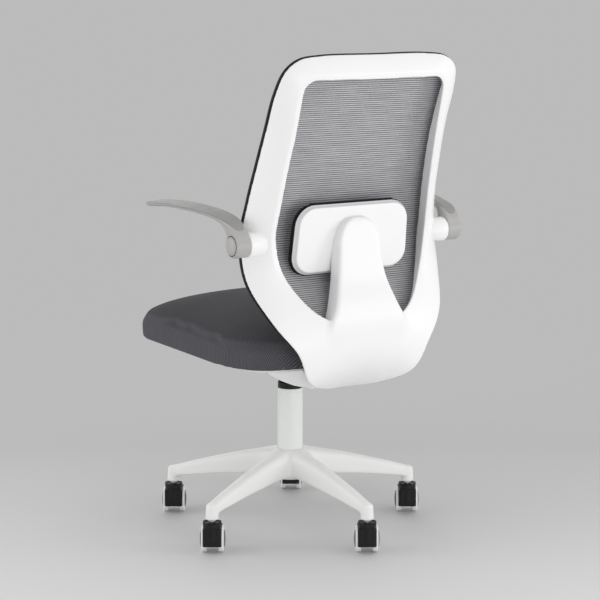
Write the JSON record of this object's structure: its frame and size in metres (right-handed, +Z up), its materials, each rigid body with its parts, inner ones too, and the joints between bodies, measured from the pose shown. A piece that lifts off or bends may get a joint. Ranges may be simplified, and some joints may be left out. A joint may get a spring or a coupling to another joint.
{
  "type": "office chair",
  "caption": "Wheeled office chair with a padded seat, a mesh back in a white moulded frame with a lumbar plate, flip-up armrests, a gas-lift column and a star base on twin-wheel casters.",
  "frame": {"origin": "on the floor, under the middle of the chair's box", "axes": "+Z up; the sitter faces -Y, and the sitter's left hand is at +X"},
  "size_m": [0.5894, 0.6158, 1.0109],
  "materials": {
    "white_plastic": "smooth satin white moulding",
    "base_plastic": "satin off-white moulding",
    "sleeve_plastic": "satin off-white cover",
    "black_plastic": "fine-grained black moulding",
    "arm_plastic": "smooth warm grey moulding",
    "arm_pad": "soft matt grey",
    "seat_fabric": "ribbed charcoal cloth",
    "mesh_fabric": "ribbed grey mesh cloth",
    "wheel_plastic": "white tread with a dark grey cap",
    "steel": "plain bright steel",
    "dark_steel": "black powder coat"
  },
  "bodies": {
    "base": {"base_star": "base_plastic", "column_tube": "steel", "column_sleeve": "sleeve_plastic", "guide_bush": "black_plastic", "thrust_bearing": "steel"},
    "swivel": {"piston_rod": "steel"},
    "lift": {"gas_cylinder": "steel", "mechanism_housing": "dark_steel", "tilt_axle": "steel", "tilt_spring": "steel"},
    "button": {"release_button": "steel"},
    "lever": {"lift_lever": "dark_steel", "lever_grip": "black_plastic"},
    "knob": {"tension_bolt": "steel", "tension_knob": "black_plastic"},
    "tilt": {"seat_plate": "dark_steel", "seat_bolt_1": "steel", "seat_bolt_2": "steel", "seat_bolt_3": "steel", "seat_bolt_4": "steel", "seat_pan": "white_plastic", "seat_cushion": "seat_fabric", "back_frame": "white_plastic", "lumbar_plate": "white_plastic", "lumbar_pad": "seat_fabric", "back_mesh": "mesh_fabric", "mesh_rim": "black_plastic", "arm_pin_left": "steel", "arm_pin_right": "steel"},
    "arm_left": {"armrest_left": "arm_plastic", "arm_pad_left": "arm_pad", "arm_cap_left": "arm_plastic"},
    "arm_right": {"armrest_right": "arm_plastic", "arm_pad_right": "arm_pad", "arm_cap_right": "arm_plastic"},
    "caster_1": {"caster_stem_1": "steel", "caster_hood_1": "black_plastic", "caster_axle_1": "steel"},
    "wheel_1_left": {"caster_wheel_1_left": "wheel_plastic"},
    "wheel_1_right": {"caster_wheel_1_right": "wheel_plastic"},
    "caster_2": {"caster_stem_2": "steel", "caster_hood_2": "black_plastic", "caster_axle_2": "steel"},
    "wheel_2_left": {"caster_wheel_2_left": "wheel_plastic"},
    "wheel_2_right": {"caster_wheel_2_right": "wheel_plastic"},
    "caster_3": {"caster_stem_3": "steel", "caster_hood_3": "black_plastic", "caster_axle_3": "steel"},
    "wheel_3_left": {"caster_wheel_3_left": "wheel_plastic"},
    "wheel_3_right": {"caster_wheel_3_right": "wheel_plastic"},
    "caster_4": {"caster_stem_4": "steel", "caster_hood_4": "black_plastic", "caster_axle_4": "steel"},
    "wheel_4_left": {"caster_wheel_4_left": "wheel_plastic"},
    "wheel_4_right": {"caster_wheel_4_right": "wheel_plastic"},
    "caster_5": {"caster_stem_5": "steel", "caster_hood_5": "black_plastic", "caster_axle_5": "steel"},
    "wheel_5_left": {"caster_wheel_5_left": "wheel_plastic"},
    "wheel_5_right": {"caster_wheel_5_right": "wheel_plastic"}
  },
  "joints": [
    {"name": "seat_swivel", "type": "hinge", "parent": "base", "child": "swivel", "pos_m": [0.00724, -0.02638, 0.2], "axis": [0, 0, 1], "continuous": true},
    {"name": "seat_lift", "type": "slide", "parent": "swivel", "child": "lift", "axis": [0, 0, 1], "range_m": [0, 0.1]},
    {"name": "seat_tilt", "type": "hinge", "parent": "lift", "child": "tilt", "pos_m": [0.00724, -0.12638, 0.35009], "axis": [-1, 0, 0], "range_deg": [0, 11], "stiffness_Nm_per_rad": 120, "springref_deg": -20.05, "deforming": ["tilt_spring"]},
    {"name": "lever_lift", "type": "hinge", "parent": "lift", "child": "lever", "pos_m": [-0.01426, -0.02638, 0.34159], "axis": [0, 1, 0], "range_deg": [0, 8], "stiffness_Nm_per_rad": 1, "springref_deg": -17.19},
    {"name": "button_press", "type": "slide", "parent": "lift", "child": "button", "axis": [0, 0, -1], "range_m": [0, 0.0037]},
    {"name": "tension_turn", "type": "hinge", "parent": "lift", "child": "knob", "pos_m": [0.00724, -0.14438, 0.33559], "axis": [0, -1, 0], "range_deg": [-540, 540]},
    {"name": "arm_flip_left", "type": "hinge", "parent": "tilt", "child": "arm_left", "pos_m": [0.25, 0.19412, 0.64459], "axis": [-1, 0, 0], "range_deg": [0, 90]},
    {"name": "arm_flip_right", "type": "hinge", "parent": "tilt", "child": "arm_right", "pos_m": [-0.24, 0.19412, 0.64459], "axis": [-1, 0, 0], "range_deg": [0, 90]},
    {"name": "caster_swivel_1", "type": "hinge", "parent": "base", "child": "caster_1", "pos_m": [0.2521, 0.07755, 0.06], "axis": [0, 0, 1], "continuous": true},
    {"name": "wheel_spin_1_left", "type": "hinge", "parent": "caster_1", "child": "wheel_1_left", "pos_m": [0.2418, 0.06041, 0.027], "axis": [-0.8572, 0.515, 0], "continuous": true},
    {"name": "wheel_spin_1_right", "type": "hinge", "parent": "caster_1", "child": "wheel_1_right", "pos_m": [0.2418, 0.06041, 0.027], "axis": [-0.8572, 0.515, 0], "continuous": true},
    {"name": "caster_swivel_2", "type": "hinge", "parent": "base", "child": "caster_2", "pos_m": [-0.01594, 0.23861, 0.06], "axis": [0, 0, 1], "continuous": true},
    {"name": "wheel_spin_2_left", "type": "hinge", "parent": "caster_2", "child": "wheel_2_left", "pos_m": [-0.02624, 0.22146, 0.027], "axis": [-0.8572, 0.515, 0], "continuous": true},
    {"name": "wheel_spin_2_right", "type": "hinge", "parent": "caster_2", "child": "wheel_2_right", "pos_m": [-0.02624, 0.22146, 0.027], "axis": [-0.8572, 0.515, 0], "continuous": true},
    {"name": "caster_swivel_3", "type": "hinge", "parent": "base", "child": "caster_3", "pos_m": [-0.25194, 0.03345, 0.06], "axis": [0, 0, 1], "continuous": true},
    {"name": "wheel_spin_3_left", "type": "hinge", "parent": "caster_3", "child": "wheel_3_left", "pos_m": [-0.26224, 0.01631, 0.027], "axis": [-0.8572, 0.515, 0], "continuous": true},
    {"name": "wheel_spin_3_right", "type": "hinge", "parent": "caster_3", "child": "wheel_3_right", "pos_m": [-0.26224, 0.01631, 0.027], "axis": [-0.8572, 0.515, 0], "continuous": true},
    {"name": "caster_swivel_4", "type": "hinge", "parent": "base", "child": "caster_4", "pos_m": [-0.12976, -0.25439, 0.06], "axis": [0, 0, 1], "continuous": true},
    {"name": "wheel_spin_4_left", "type": "hinge", "parent": "caster_4", "child": "wheel_4_left", "pos_m": [-0.14006, -0.27153, 0.027], "axis": [-0.8572, 0.515, 0], "continuous": true},
    {"name": "wheel_spin_4_right", "type": "hinge", "parent": "caster_4", "child": "wheel_4_right", "pos_m": [-0.14006, -0.27153, 0.027], "axis": [-0.8572, 0.515, 0], "continuous": true},
    {"name": "caster_swivel_5", "type": "hinge", "parent": "base", "child": "caster_5", "pos_m": [0.18176, -0.22714, 0.06], "axis": [0, 0, 1], "continuous": true},
    {"name": "wheel_spin_5_left", "type": "hinge", "parent": "caster_5", "child": "wheel_5_left", "pos_m": [0.17146, -0.24428, 0.027], "axis": [-0.8572, 0.515, 0], "continuous": true},
    {"name": "wheel_spin_5_right", "type": "hinge", "parent": "caster_5", "child": "wheel_5_right", "pos_m": [0.17146, -0.24428, 0.027], "axis": [-0.8572, 0.515, 0], "continuous": true}
  ],
  "couplings": [
    {"joint": "button_press", "follows": "lever_lift", "m_per_rad": 0.0258}
  ]
}
